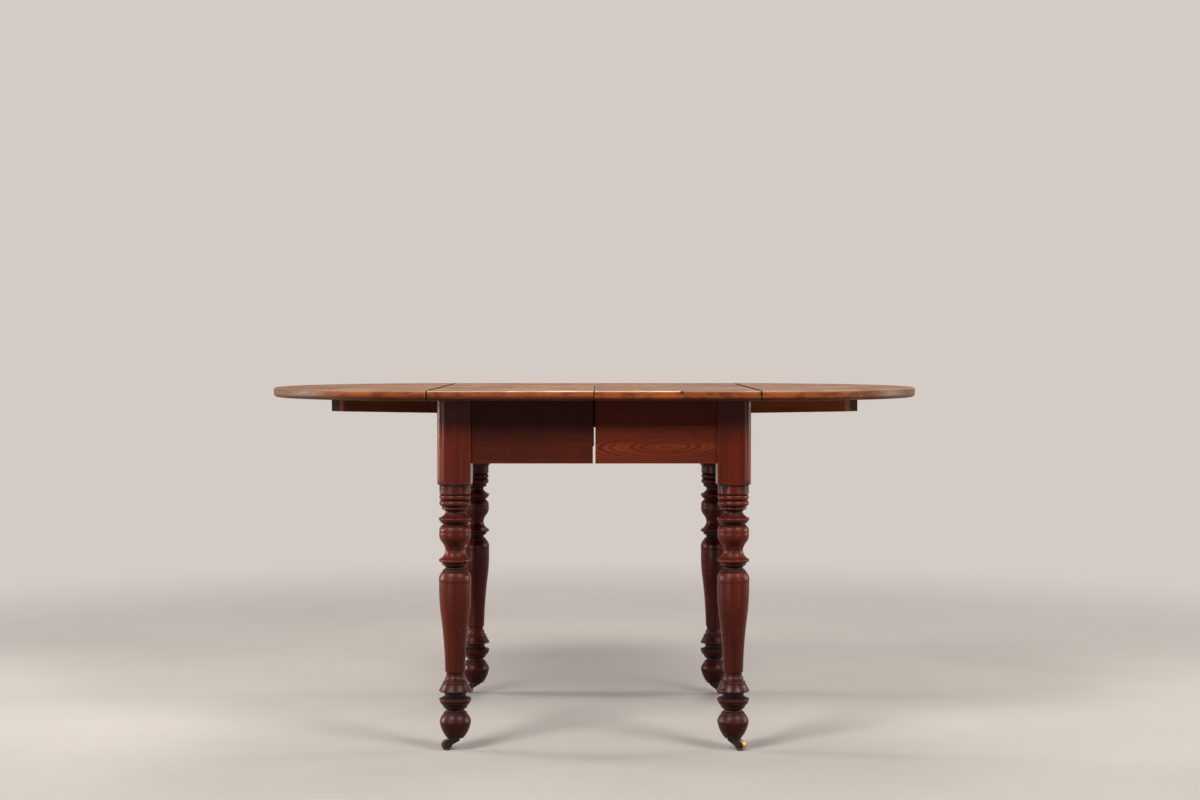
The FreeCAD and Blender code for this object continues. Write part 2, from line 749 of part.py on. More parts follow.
def seam_dowels():
    """Round pegs that line the two halves of the top up, glued into the left one."""
    middle = "table_height - top_thickness / 2"
    members = [rod("SeamDowel", ("-dowel_reach", y, middle), "dowel_radius", "2 * dowel_reach", "x")
               for y in seam_dowel_places()]
    return group("SeamDowels", members)


def hinge_plates(name, outboard):
    """One half of both hinges of a leaf: a flat plate with its share of the knuckle."""
    members = []
    third = "hinge_length / 3"
    clear = "(knuckle_radius + knuckle_gap)"
    reach = "leaf_plate_reach" if outboard else "fixed_plate_reach"
    screw_reach = leaf_screw_reach if outboard else fixed_screw_reach
    places = hinge_screw_places(screw_reach)
    for number, end in enumerate((-1, 1)):
        first = f"{end} * {hinge_y} - hinge_length / 2"
        plate_z = f"{underside} - hinge_plate"
        plate_x = f"-{hinge_x} - {reach}" if outboard else f"-{hinge_x} + {clear}"
        plate = box(f"{name}_plate", (plate_x, first, plate_z),
                    (f"{reach} - {clear}", "hinge_length", "hinge_plate"))
        pieces = [plate]
        for share in ((1,) if outboard else (0, 2)):
            start = f"{first} + {share} * {third} + knuckle_gap / 2"
            length = f"{third} - knuckle_gap"
            knuckle_start = (f"-{hinge_x}", start, hinge_z)
            pieces.append(rod(f"{name}_knuckle", knuckle_start, "knuckle_radius", length, "y"))
            tab_x = f"-{hinge_x} - {clear}" if outboard else f"-{hinge_x}"
            pieces.append(box(f"{name}_tab", (tab_x, start, plate_z), (clear, length, "hinge_plate")))
        bore = rod(f"{name}_bore", (f"-{hinge_x}", first, hinge_z), "hinge_pin_radius + pin_clearance",
                   "hinge_length", "y")
        holes = [rod(f"{name}_hole", (x, y, plate_z), "screw_radius + joint_clearance", "hinge_plate")
                 for x, y in places[3 * number:3 * number + 3]]
        members.append(cut(f"{name}_bored", fuse(f"{name}_joined", pieces), [bore] + holes))
    return group(name, members)


def hinge_pins():
    name = "HingePins"
    members = [rod(f"{name}_pin", (f"-{hinge_x}", f"{end} * {hinge_y} - hinge_length / 2", hinge_z),
                   "hinge_pin_radius", "hinge_length", "y") for end in (-1, 1)]
    return group(name, members)


def hinge_screws(name, reach):
    seat = f"{underside} - hinge_plate"
    members = [screw(f"{name}_screw", x, y, seat) for x, y in hinge_screw_places(reach)]
    return group(name, members)


def pivot_screw():
    """The stout screw in the underside of a leaf that its bar turns on."""
    name = "PivotScrew"
    x = f"-{bar_pivot_x}"
    head_top = f"{underside} - pivot_head_seat - seat_clearance"
    head = rod(f"{name}_head", (x, "0", f"{head_top} - pivot_head"), "pivot_head_radius", "pivot_head")
    shank = rod(f"{name}_shank", (x, "0", head_top), "pivot_radius",
                "pivot_head_seat + seat_clearance + screw_grip - joint_clearance")
    return fuse(name, [head, shank])


def support_bar():
    """A bar under a leaf, set out from its pivot: a round nose under the fixed top, a tapering
    underside and a bevelled outer end."""
    name = "SupportBar"
    half = "bar_width / 2"
    pivot_x = f"-{bar_pivot_x}"
    nose = f"{pivot_x} + bar_inner_reach"
    tip = f"{pivot_x} - bar_outer_reach"
    tip_half = f"({half} - bar_bevel)"
    nose_bulge = f"{half} * {quarter_bulge}"
    plan = [
        (tip, f"-{tip_half}"), (f"{tip} + bar_bevel_length", f"-{half}"),
        (f"{nose} - {half}", f"-{half}", nose_bulge), (nose, "0", nose_bulge), (f"{nose} - {half}", half),
        (f"{tip} + bar_bevel_length", half), (tip, tip_half),
    ]
    deepest = f"{underside} - bar_inner_height"
    from_above = padded(f"{name}_plan", "XY_Plane", plan, "bar_inner_height", deepest)
    side = [
        (tip, f"{underside} - bar_outer_height"), (nose, deepest), (nose, f"{underside} - bar_relief"),
        (f"{nose} - bar_relief_length", f"{underside} - bar_relief"),
        (f"{nose} - bar_relief_length - bar_relief", underside), (tip, underside),
    ]
    from_side = padded(f"{name}_side", "XZ_Plane", side, "bar_width", f"-{half}")
    shape = common(f"{name}_shape", from_above, from_side)
    hole = rod(f"{name}_hole", (pivot_x, "0", deepest), "pivot_radius + pivot_clearance", "bar_inner_height")
    well = rod(f"{name}_well", (pivot_x, "0", deepest), "pivot_head_radius + seat_clearance",
               "bar_inner_height - pivot_head_seat")
    return cut(name, shape, [hole, well])


def caster_socket():
    """The plate and tube under a foot that the caster's stem turns in."""
    name = "CasterSocket"
    low = "caster_height - caster_plate"
    top = "caster_height + socket_length"
    bore = "stem_radius + stem_clearance"
    body = new_body(name)
    turned(body, [(bore, low), ("caster_plate_radius", low), ("caster_plate_radius", "caster_height"),
                  ("socket_radius", "caster_height"), ("socket_radius", top), (bore, top)])
    holes = [rod(f"{name}_hole", (x, y, low), "screw_radius + joint_clearance", "caster_plate")
             for x, y in caster_screw_places()]
    return cut(f"{name}_drilled", body, holes)


def caster_screws():
    """Flush screws through a caster plate, up into the foot."""
    name = "CasterScrews"
    start = "caster_height - caster_plate"
    length = "caster_plate + screw_grip - joint_clearance"
    members = [rod(f"{name}_screw", (x, y, start), "screw_radius", length)
               for x, y in caster_screw_places()]
    return group(name, members)


def caster_fork():
    """A stem with two cheeks that carry the wheel behind it."""
    name = "CasterFork"
    crown_low = f"{crown_top} - crown_height"
    boss = "boss_radius * sqrt(0.5)"
    swollen = f"boss_radius * {quarter_bulge}"
    side = [
        ("-crown_reach", crown_low), (f"caster_trail - {boss}", f"wheel_radius - {boss}", swollen),
        (f"caster_trail + {boss}", f"wheel_radius - {boss}", swollen),
        (f"caster_trail + {boss}", f"wheel_radius + {boss}"), ("crown_reach + crown_height / 2", crown_top),
        ("-crown_reach", crown_top),
    ]
    cheeks = padded(f"{name}_cheeks", "XZ_Plane", side, f"2 * {fork_half_width}", f"-{fork_half_width}")
    stem_length = f"caster_height + socket_length - ({crown_low})"
    stem = rod(f"{name}_stem", ("0", "0", crown_low), "stem_radius", stem_length)
    slot_half = "(wheel_width / 2 + wheel_side_gap)"
    slot = box(f"{name}_slot", ("-2 * crown_reach", f"-{slot_half}", "0"),
               ("2 * crown_reach + caster_trail + 2 * boss_radius", f"2 * {slot_half}", crown_low))
    room = rod(f"{name}_room", ("caster_trail", f"-{slot_half}", "wheel_radius"),
               "wheel_radius + 2 * wheel_side_gap", f"2 * {slot_half}", "y")
    bore = rod(f"{name}_bore", ("caster_trail", f"-{fork_half_width}", "wheel_radius"),
               "axle_radius + pin_clearance", f"2 * {fork_half_width}", "y")
    gap = fuse(f"{name}_gap", [slot, room])
    return cut(name, fuse(f"{name}_whole", [cheeks, stem]), [gap, bore])


def caster_axle():
    name = "CasterAxle"
    outer = f"{fork_half_width} + axle_head"
    low = ("caster_trail", f"-({outer})", "wheel_radius")
    pin = rod(f"{name}_pin", low, "axle_radius", f"2 * ({outer})", "y")
    near = rod(f"{name}_near_head", low, "axle_head_radius", "axle_head", "y")
    far = rod(f"{name}_far_head", ("caster_trail", fork_half_width, "wheel_radius"), "axle_head_radius",
              "axle_head", "y")
    return fuse(name, [pin, near, far])


def caster_wheel():
    """A solid wheel with rounded edges and a dished face on each side."""
    name = "CasterWheel"
    body = new_body(name)
    half, rounding = "wheel_width / 2", "wheel_edge_round"
    bore = "(axle_radius + pin_clearance)"
    dish_depth, hub = "wheel_edge_round / 2", "(axle_radius * 2)"
    land = "(wheel_radius - 2 * wheel_edge_round)"
    turned(body, [
        (bore, f"-{half}"), (hub, f"-{half}"), (hub, f"-{half} + {dish_depth}"),
        (land, f"-{half} + {dish_depth}"), (land, f"-{half}"),
        (f"wheel_radius - {rounding}", f"-{half}", f"{rounding} * {quarter_bulge}"),
        ("wheel_radius", f"-{half} + {rounding}"),
        ("wheel_radius", f"{half} - {rounding}", f"{rounding} * {quarter_bulge}"),
        (f"wheel_radius - {rounding}", half), (land, half), (land, f"{half} - {dish_depth}"),
        (hub, f"{half} - {dish_depth}"), (hub, half), (bore, half),
    ])
    body.Placement = FreeCAD.Placement(vector(), FreeCAD.Rotation(vector(1, 0, 0), 90))
    put(body, "caster_trail", "0", "wheel_radius")
    return body


# Patterns, each made once for the left or front
pegged_board = inner_board("PeggedBoard", "joint_clearance")
socketed_board = inner_board("SocketedBoard", "dowel_clearance")
hinged_board = outer_board()
leaf_inner, leaf_outer = leaf_boards()
left_hand_leg = leg()
right_hand_leg = mirrored("LegMirrored", left_hand_leg)
left_apron = side_apron("LeftApron", -1)
right_apron = side_apron("RightApron", 1)
crossing_apron = end_apron()
blocks = glue_blocks()
rail = fixed_slide()
loose_rail = middle_slide()
driven_screws = underside_screws()
fixed_plates = hinge_plates("FixedPlates", False)
leaf_plates = hinge_plates("LeafPlates", True)
pins = hinge_pins()
fixed_screws = hinge_screws("FixedScrews", fixed_screw_reach)
leaf_screws = hinge_screws("LeafScrews", leaf_screw_reach)
bar_screw = pivot_screw()
bar = support_bar()
sockets = at_left_legs(caster_socket())
socket_screws = at_left_legs(caster_screws())
fork, axle, wheel = caster_fork(), caster_axle(), caster_wheel()

# The two halves: the right one is the left one turned about the middle of the table
inward_rail_y = f"2 * {slide_middle_y}"
halves = (("left", "right", "front", -1, 0), ("right", "left", "back", 1, half_turn))
for side, opposite, near, hand, turn in halves:
    node(f"{side}_top_inner_board", [pegged_board if hand < 0 else socketed_board], turn)
    node(f"{side}_top_outer_board", [hinged_board], turn)
    node(f"{near}_{side}_apron", [left_apron], turn)
    node(f"{near}_{opposite}_apron", [right_apron], turn)
    node(f"{side}_end_apron", [crossing_apron], turn)
    node(f"{side}_glue_blocks", [blocks], turn)
    node(f"{near}_{side}_slide", [rail], turn)
    node(f"{near}_{opposite}_slide", [rail], half_turn - turn, y=f"{hand} * {inward_rail_y}")
    node(f"{near}_middle_slide", [loose_rail], turn)
    node(f"{side}_underside_screws", [driven_screws], turn)
    node(f"{side}_hinge_fixed_plates", [fixed_plates], turn)
    node(f"{side}_hinge_fixed_screws", [fixed_screws], turn)
    node(f"{side}_hinge_pins", [pins], turn)
    node(f"{side}_hinge_leaf_plates", [leaf_plates], turn)
    node(f"{side}_hinge_leaf_screws", [leaf_screws], turn)
    node(f"{side}_leaf_inner_board", [leaf_inner], turn)
    node(f"{side}_leaf_outer_board", [leaf_outer], turn)
    node(f"{side}_support_bar", [bar], turn)
    node(f"{side}_bar_pivot_screw", [bar_screw], turn)
    node(f"{side}_caster_sockets", sockets, turn)
    node(f"{side}_caster_screws", socket_screws, turn)
    for place, end in (("front", -1), ("back", 1)):
        corner = {"x": f"{hand} * {leg_x}", "y": f"{end} * {leg_y}"}
        pattern = left_hand_leg if hand * end > 0 else right_hand_leg
        node(f"{place}_{side}_leg", [pattern], half_turn if end > 0 else 0, **corner)
        corner["heading"] = f"{place}_{side}_heading"
        node(f"{place}_{side}_caster_fork", [fork], **corner)
        node(f"{place}_{side}_caster_axle", [axle], **corner)
        node(f"{place}_{side}_caster_wheel", [wheel], **corner)
node("seam_dowels", [seam_dowels()])

doc.recompute()
for thing in doc.Objects:
    if "Invalid" in thing.State or "Error" in thing.State:
        raise RuntimeError(f"{thing.Label} failed to build: {thing.State}")
for thing in nodes:
    if thing.Shape.isNull() or not thing.Shape.isValid():
        raise RuntimeError(f"{thing.Label} has no valid shape")
for thing in nodes:
    thing.Shape.exportStep(f"parts/{thing.Label}.step")
print(len(nodes), "pieces written")
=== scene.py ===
import json
import math
import random

import bmesh
import bpy
from mathutils import Matrix, Vector


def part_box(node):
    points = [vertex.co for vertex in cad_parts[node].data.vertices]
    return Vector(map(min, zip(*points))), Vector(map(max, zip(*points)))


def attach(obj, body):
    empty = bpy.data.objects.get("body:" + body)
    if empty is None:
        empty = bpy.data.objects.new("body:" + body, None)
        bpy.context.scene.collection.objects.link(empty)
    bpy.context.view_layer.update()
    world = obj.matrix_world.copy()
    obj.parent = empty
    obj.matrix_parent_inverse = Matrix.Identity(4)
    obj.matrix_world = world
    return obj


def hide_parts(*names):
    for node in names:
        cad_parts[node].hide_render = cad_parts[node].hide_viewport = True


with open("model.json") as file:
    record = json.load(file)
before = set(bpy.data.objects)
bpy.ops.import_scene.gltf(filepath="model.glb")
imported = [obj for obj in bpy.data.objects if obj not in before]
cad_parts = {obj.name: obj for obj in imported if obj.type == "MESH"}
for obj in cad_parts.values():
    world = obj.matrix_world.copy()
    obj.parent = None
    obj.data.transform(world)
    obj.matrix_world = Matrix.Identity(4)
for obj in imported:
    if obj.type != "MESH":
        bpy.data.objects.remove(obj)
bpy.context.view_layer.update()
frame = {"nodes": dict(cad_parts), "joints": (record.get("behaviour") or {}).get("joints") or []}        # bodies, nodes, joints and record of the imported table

cadNodes = frame["nodes"]
print("frame loaded:", len(cadNodes), "pieces")

sides = ("left", "right")
ends = ("front", "back")
corners = [f"{end}_{side}" for end in ends for side in sides]
axes = {"x": Vector((1, 0, 0)), "y": Vector((0, 1, 0)), "z": Vector((0, 0, 1))}


def setInput(tree, socket, given):
    if isinstance(given, bpy.types.NodeSocket):
        tree.links.new(given, socket)
    else:
        socket.default_value = given


def addNode(tree, kind, inputs=None, **options):
    node = tree.nodes.new("ShaderNode" + kind)
    for name, option in options.items():
        setattr(node, name, option)
    for label, given in (inputs or {}).items():
        setInput(tree, node.inputs[label], given)
    return node


def calc(tree, operation, first, second=0.0):
    return addNode(tree, "Math", {0: first, 1: second}, operation=operation).outputs[0]


def plus(tree, first, second):
    return calc(tree, "ADD", first, second)


def minus(tree, first, second):
    return calc(tree, "SUBTRACT", first, second)


def times(tree, first, second):
    return calc(tree, "MULTIPLY", first, second)


def larger(tree, first, second):
    return calc(tree, "MAXIMUM", first, second)


def unsigned(tree, given):
    return calc(tree, "ABSOLUTE", given)


def ease(tree, given, start, stop, low=0.0, high=1.0):
    ranges = {"Value": given, "From Min": start, "From Max": stop, "To Min": low, "To Max": high}
    return addNode(tree, "MapRange", ranges, interpolation_type="SMOOTHSTEP").outputs[0]


def split(tree, vector):
    return addNode(tree, "SeparateXYZ", {0: vector}).outputs


def stretch(tree, vector, factors):
    return addNode(tree, "VectorMath", {0: vector, 1: factors}, operation="MULTIPLY").outputs[0]


def cloud(tree, vector, scale, detail, roughness=0.55):
    inputs = {"Vector": vector, "Scale": scale, "Detail": detail, "Roughness": roughness}
    return addNode(tree, "TexNoise", inputs).outputs


def softEdge(tree, reach, samples=4):
    return addNode(tree, "Bevel", {"Radius": reach}, samples=samples).outputs[0]


def bumped(tree, height, strength, distance, softening):
    softened = softEdge(tree, softening)
    inputs = {"Strength": strength, "Distance": distance, "Height": height, "Normal": softened}
    return addNode(tree, "Bump", inputs).outputs[0]


def mixTint(tree, share, under, over):
    inputs = {0: share, 6: under, 7: over}
    return addNode(tree, "Mix", inputs, data_type="RGBA", blend_type="MIX").outputs[2]


# each layer is a mask, the share of it that covers and the colour of the look that it brings
def paint(tree, look, under, layers):
    for mask, share, over in layers:
        under = mixTint(tree, times(tree, mask, share), under, look[over])
    return under


def tint(red, green, blue):
    # written as seen on screen, 0 to 255, stored as linear light
    def linear(level):
        level = level / 255
        return level / 12.92 if level <= 0.04045 else ((level + 0.055) / 1.055) ** 2.4
    return (linear(red), linear(green), linear(blue), 1.0)


def openGroup(name, inputs, outputs):
    tree = bpy.data.node_groups.new(name, "ShaderNodeTree")
    for label, kind in inputs:
        tree.interface.new_socket(label, in_out="INPUT", socket_type="NodeSocket" + kind)
    for label in outputs:
        tree.interface.new_socket(label, in_out="OUTPUT", socket_type="NodeSocketFloat")
    return tree, tree.nodes.new("NodeGroupInput").outputs, tree.nodes.new("NodeGroupOutput").inputs


# growth rings round a pith line that leans through the board, fibres, pores and sawn ends
# the vector has the grain along X, the width of the board along Y and its thickness along Z
# scatter is the same vector moved elsewhere, so that no two boards share their noise
# a noise has its stretch, detail and roughness
grainLook = {
    "drift": ((1.0, 4.5, 4.5), 2, 0.55),
    "ripple": ((2.5, 70, 70), 2, 0.55),
    "fibre": ((6, 380, 380), 4, 0.65),
    "pore": ((42, 900, 900), 1, 0.55),
    "streak": ((1.6, 46, 46), 3, 0.6),
    "rippled": 0.7, "lateStart": (0.05, 0.78), "lateStop": (0.99, 0.84), "years": (0.35, 1.0),
    "fibres": (0.32, 0.68), "streaks": (0.36, 0.66), "pores": (0.6, 0.74), "sawn": (0.55, 0.9),
}


def buildGrain():
    tree, given, result = openGroup(
        "timberGrain",
        [("Vector", "Vector"), ("Scatter", "Vector"), ("Normal", "Vector"), ("Rings", "Float"),
         ("Pith depth", "Float"), ("Pith aside", "Float"), ("Lean", "Float"), ("Wander", "Float")],
        ["Figure", "Fibre", "Streak", "Pores", "End grain"])

    def noise(kind):
        factors, detail, roughness = grainLook[kind]
        return cloud(tree, stretch(tree, given["Scatter"], factors), 1.0, detail, roughness)

    place = split(tree, given["Vector"])
    shove = addNode(tree, "SeparateColor", {0: noise("drift")["Color"]}).outputs
    sway = [times(tree, minus(tree, shove[i], 0.5), given["Wander"]) for i in (0, 1)]
    lean = times(tree, place["X"], given["Lean"])
    deep = plus(tree, plus(tree, place["Z"], given["Pith depth"]), plus(tree, lean, sway[0]))
    aside = plus(tree, plus(tree, place["Y"], given["Pith aside"]), sway[1])
    square = plus(tree, times(tree, deep, deep), times(tree, aside, aside))
    count = times(tree, calc(tree, "SQRT", square), given["Rings"])
    count = plus(tree, count, times(tree, noise("ripple")[0], grainLook["rippled"]))
    phase = calc(tree, "FRACT", count)
    whole = calc(tree, "FLOOR", count)
    year = addNode(tree, "TexWhiteNoise", {"W": whole}, noise_dimensions="1D").outputs[0]
    late = times(tree, ease(tree, phase, *grainLook["lateStart"]), ease(tree, phase, *grainLook["lateStop"]))
    sawn = unsigned(tree, split(tree, given["Normal"])["X"])
    masks = {
        "Figure": times(tree, late, ease(tree, year, 0, 1, *grainLook["years"])),
        "Fibre": ease(tree, noise("fibre")[0], *grainLook["fibres"]),
        "Streak": ease(tree, noise("streak")[0], *grainLook["streaks"]),
        "Pores": ease(tree, noise("pore")[0], *grainLook["pores"]),
        "End grain": ease(tree, sawn, *grainLook["sawn"]),
    }
    for label, mask in masks.items():
        tree.links.new(mask, result[label])
    return tree


# where hands and cloths have rubbed the finish thin along an edge
rubLook = {"cloud": (38, 4, 0.6), "edge": (0.992, 0.84), "patches": (0.36, 0.62)}


def buildRub():
    tree, given, result = openGroup("edgeRub", [("Vector", "Vector"), ("Reach", "Float")], ["Rub"])
    normals = {0: softEdge(tree, given["Reach"]), 1: addNode(tree, "NewGeometry").outputs["Normal"]}
    likeness = addNode(tree, "VectorMath", normals, operation="DOT_PRODUCT").outputs["Value"]
    patches = ease(tree, cloud(tree, given["Vector"], *rubLook["cloud"])[0], *rubLook["patches"])
    tree.links.new(times(tree, ease(tree, likeness, *rubLook["edge"]), patches), result["Rub"])
    return tree


# dirt and old wax that gathers in grooves and corners, with painted shade, since the darkening follows
# ambient occlusion
grimeAndShadeLook = {"cloud": (22, 3), "hidden": (0.96, 0.58), "patches": (0.2, 0.6, 0.7, 1.0), "samples": 8}


def buildGrimeAndShade():
    tree, given, result = openGroup("grooveGrimeAndShade", [("Vector", "Vector"), ("Reach", "Float")], ["Grime"])
    inputs = {"Distance": given["Reach"]}
    around = addNode(tree, "AmbientOcclusion", inputs, samples=grimeAndShadeLook["samples"], only_local=True)
    clear = around.outputs["AO"]
    patches = ease(tree, cloud(tree, given["Vector"], *grimeAndShadeLook["cloud"])[0], *grimeAndShadeLook["patches"])
    tree.links.new(times(tree, ease(tree, clear, *grimeAndShadeLook["hidden"]), patches), result["Grime"])
    return tree


# cloudy polish and hair scratches, each set of scratches with its turn and stretch
polishLook = {
    "cloud": (7, 4, 0.6), "haze": (0.34, 0.66), "tilt": (0.2, 0.1), "lines": (0.7, 0.76),
    "scratches": ((0.5, (9, 260, 260)), (2.1, (260, 12, 260))),
}


def buildPolish():
    tree, given, result = openGroup("wornPolish", [("Vector", "Vector")], ["Haze", "Scratches"])
    broad = cloud(tree, given["Vector"], *polishLook["cloud"])[0]
    tree.links.new(ease(tree, broad, *polishLook["haze"]), result["Haze"])
    marks = []
    for turn, factors in polishLook["scratches"]:
        inputs = {"Vector": given["Vector"], "Rotation": (*polishLook["tilt"], turn)}
        turned = addNode(tree, "Mapping", inputs).outputs[0]
        line = cloud(tree, stretch(tree, turned, factors), 1.0, 1)[0]
        marks.append(ease(tree, line, *polishLook["lines"]))
    tree.links.new(larger(tree, *marks), result["Scratches"])
    return tree


grain, rub, grimeAndShade, polish = buildGrain(), buildRub(), buildGrimeAndShade(), buildPolish()
print("finish groups made")


def useGroup(tree, group, **inputs):
    node = tree.nodes.new("ShaderNodeGroup")
    node.node_tree = group
    for label, given in inputs.items():
        setInput(tree, node.inputs[label.replace("_", " ")], given)
    return node.outputs


def openMaterial(name):
    material = bpy.data.materials.new(name)
    material.use_nodes = True
    tree = material.node_tree
    return material, tree, tree.nodes["Principled BSDF"]


def dress(node, material):
    data = cadNodes[node].data
    data.materials.clear()
    data.materials.append(material)


# the stain of each kind of wood in early and late growth, streaks, sawn ends, rubbed places that also carry
# painted highlights, and dirt that also carries painted shade
# then its rings and how they lie, its gloss, and how strongly the figure, streaks and stains show
woodLooks = {
    "top": {
        "early": tint(139, 91, 46), "late": tint(98, 58, 28), "deep": tint(70, 35, 18),
        # the top's near-white rubbed colour is wear with a painted highlight along its edges
        "ends": tint(196, 94, 40), "wearAndGleam": tint(246, 220, 184), "dirtAndShade": tint(38, 19, 12),
        "rings": 170.0, "depth": 0.03, "lean": 0.06, "wander": 0.03,
        "gloss": (0.42, 0.6), "sheen": 0.22, "figure": 0.75, "streak": 0.3,
        "tones": (0.88, 1.12), "stains": 0.22, "grimeAndShadeReach": 0.012,
        "joint": (0.0016, 0.0004), "smudged": 0.6, "hinge": (0.0056, 0.0034),
    },
    "leg": {
        "early": tint(132, 42, 20), "late": tint(80, 24, 12), "deep": tint(44, 12, 7),
        # the leg's rubbed colour also paints the highlight on the rounded corners of the blocks
        "ends": tint(56, 20, 13), "wearAndGleam": tint(150, 78, 50), "dirtAndShade": tint(18, 8, 6),
        "rings": 230.0, "depth": 0.04, "lean": 0.03, "wander": 0.012,
        "gloss": (0.25, 0.38), "sheen": 0.16, "figure": 0.75, "streak": 0.6,
        "tones": (0.96, 1.04), "stains": 0.3, "grimeAndShadeReach": 0.02, "corner": (0.552, 0.562),
    },
    "apron": {
        "early": tint(120, 48, 28), "late": tint(72, 26, 16), "deep": tint(46, 16, 10),
        "ends": tint(58, 23, 15), "wearAndGleam": tint(138, 64, 38), "dirtAndShade": tint(22, 9, 6),
        "rings": 170.0, "depth": 0.03, "lean": 0.05, "wander": 0.02,
        "gloss": (0.3, 0.48), "sheen": 0.14, "figure": 0.85, "streak": 0.35,
        "tones": (0.95, 1.05), "stains": 0.3, "grimeAndShadeReach": 0.02,
    },
    "bar": {
        # the bars are stained lighter than their wood: painted light, for the shade under the leaves
        "early": tint(176, 106, 72), "late": tint(128, 74, 50), "deep": tint(78, 42, 28),
        "ends": tint(36, 17, 10), "wearAndGleam": tint(138, 70, 42), "dirtAndShade": tint(22, 10, 7),
        "rings": 210.0, "depth": 0.06, "lean": 0.03, "wander": 0.015,
        "gloss": (0.4, 0.6), "sheen": 0.2, "figure": 0.7, "streak": 0.4,
        "tones": (1.0, 1.0), "stains": 0.2, "grimeAndShadeReach": 0.012, "tip": 0.017,
    },
    "bare": {
        "early": tint(160, 118, 78), "late": tint(122, 82, 50), "deep": tint(92, 60, 38),
        "ends": tint(108, 74, 48), "wearAndGleam": tint(176, 136, 94), "dirtAndShade": tint(60, 42, 30),
        "rings": 260.0, "depth": 0.04, "lean": 0.04, "wander": 0.02,
        "gloss": (0.6, 0.8), "sheen": 0.2, "figure": 0.8, "streak": 0.3,
        "tones": (0.9, 1.05), "stains": 0.25, "grimeAndShadeReach": 0.012,
    },
}
# how strongly each layer covers the stain
shares = {
    "fibre": 0.3, "pores": 0.5, "ends": 0.6, "rub": 0.6, "grimeAndShade": 0.93, "lowEdge": 0.75, "joint": 0.85,
    "tip": 0.85, "foot": 0.62, "upper": 0.6, "arris": 0.9, "corner": 0.5, "scar": 0.9, "hinge": 0.88,
}
# where the marks of use, the painted highlights and the painted shade lie, by the turn of the surface, by
# distance or by height
markLook = {
    "arrisTop": (0.995, 0.95), "arrisSide": (0.5, 0.78), "arrisPatches": (0.95, 0.2, 0.55, 1.0),
    "smudge": (30, 30, 90), "smudgeCloud": (1.0, 4, 0.65), "smudgePatches": (0.46, 0.62),
    "edgeFace": (0.75, 0.4), "jointWall": (0.4, 0.75, 0.45, 1.0), "scar": (0.0055, 0.0025),
    "gapHeight": (0.728, 0.735), "gapFront": (0.41, 0.35), "corner": (0.14, 0.32), "tipFade": 1.1,
}
hingeLine = (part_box("right_top_outer_board")[1].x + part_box("right_leaf_inner_board")[0].x) / 2


# upper edges rubbed bare with a painted highlight, hand smudges, painted shade on the lower halves of the
# edges, a chip, dirt in the joints
def boardMarks(tree, look, surface):
    upright = split(tree, surface["normal"])["Z"]
    level = unsigned(tree, upright)
    # the upper arris is rubbed bare, with a painted highlight along it
    band = ease(tree, upright, *markLook["arrisTop"])
    band = times(tree, band, ease(tree, upright, *markLook["arrisSide"]))
    bandWearAndGleam = times(tree, band, ease(tree, surface["haze"], *markLook["arrisPatches"]))
    smudge = cloud(tree, stretch(tree, surface["scatter"], markLook["smudge"]), *markLook["smudgeCloud"])[0]
    smudge = ease(tree, smudge, *markLook["smudgePatches"])
    handled = times(tree, ease(tree, level, *markLook["edgeFace"]), smudge)
    # painted shade darkens the lower half of the sawn edges
    height = split(tree, surface["place"])["Z"]
    shaded = times(tree, surface["endGrain"], ease(tree, height, *look["lowEdge"]))
    layers = [
        (bandWearAndGleam, shares["arris"] * look["arris"], "wearAndGleam"),
        (handled, look["smudged"], "deep"),
        (shaded, shares["lowEdge"], "deep"),
    ]
    if "scar" in look:
        points = {0: surface["place"], 1: look["scar"]}
        reach = addNode(tree, "VectorMath", points, operation="DISTANCE").outputs["Value"]
        layers.append((ease(tree, reach, *markLook["scar"]), shares["scar"], "dirtAndShade"))
    inset = minus(tree, surface["halfWidth"], unsigned(tree, split(tree, surface["laid"])["Y"]))
    filled = times(tree, ease(tree, inset, *look["joint"]), ease(tree, level, *markLook["jointWall"]))
    layers.append((filled, shares["joint"], "dirtAndShade"))
    return layers


# dark feet, and the rounded corners of the block rubbed lighter, with a painted highlight on them
def legMarks(tree, look, surface):
    normal, height = split(tree, surface["normal"]), split(tree, surface["place"])["Z"]
    askew = unsigned(tree, times(tree, normal["X"], normal["Y"]))
    gleaming = times(tree, ease(tree, askew, *markLook["corner"]), ease(tree, height, *look["corner"]))
    dark = ease(tree, height, *look["foot"])
    return [(dark, shares["foot"], "deep"), (gleaming, shares["corner"], "wearAndGleam")]


# painted shade on an apron under the top
def apronShade(tree, look, surface):
    if "upper" not in look:
        return []
    height = split(tree, surface["place"])["Z"]
    return [(ease(tree, height, *look["upper"]), shares["upper"], "deep")]


# the outer end of a bar is darkened to the colour of its sawn ends
def barMarks(tree, look, surface):
    start, stop = (surface["reach"] - look["tip"] * share for share in (markLook["tipFade"], 1))
    outward = unsigned(tree, split(tree, surface["place"])["X"])
    return [(ease(tree, outward, start, stop), shares["tip"], "ends")]


# painted shade in the open joint at the hinges: dark and without sheen
def hingeGapShade(tree, look, place):
    spot = split(tree, place)
    away = unsigned(tree, minus(tree, unsigned(tree, spot["X"]), hingeLine))
    near = times(tree, ease(tree, away, *look["hinge"]), ease(tree, spot["Z"], *markLook["gapHeight"]))
    return times(tree, near, ease(tree, unsigned(tree, spot["Y"]), *markLook["gapFront"]))


marksAndPaintedLight = {"top": boardMarks, "leg": legMarks, "apron": apronShade, "bar": barMarks}
# what all woods share: the spread of noise and pith, worn edges, relief and roughness
woodFinish = {
    "scatter": 3, "aside": 0.03, "rubReach": 0.004, "fibreRise": 0.4, "bump": (0.22, 0.0004, 0.0012),
    "scratched": 0.1, "worn": 0.12, "grimedAndShaded": 0.2, "sawn": 0.1,
}


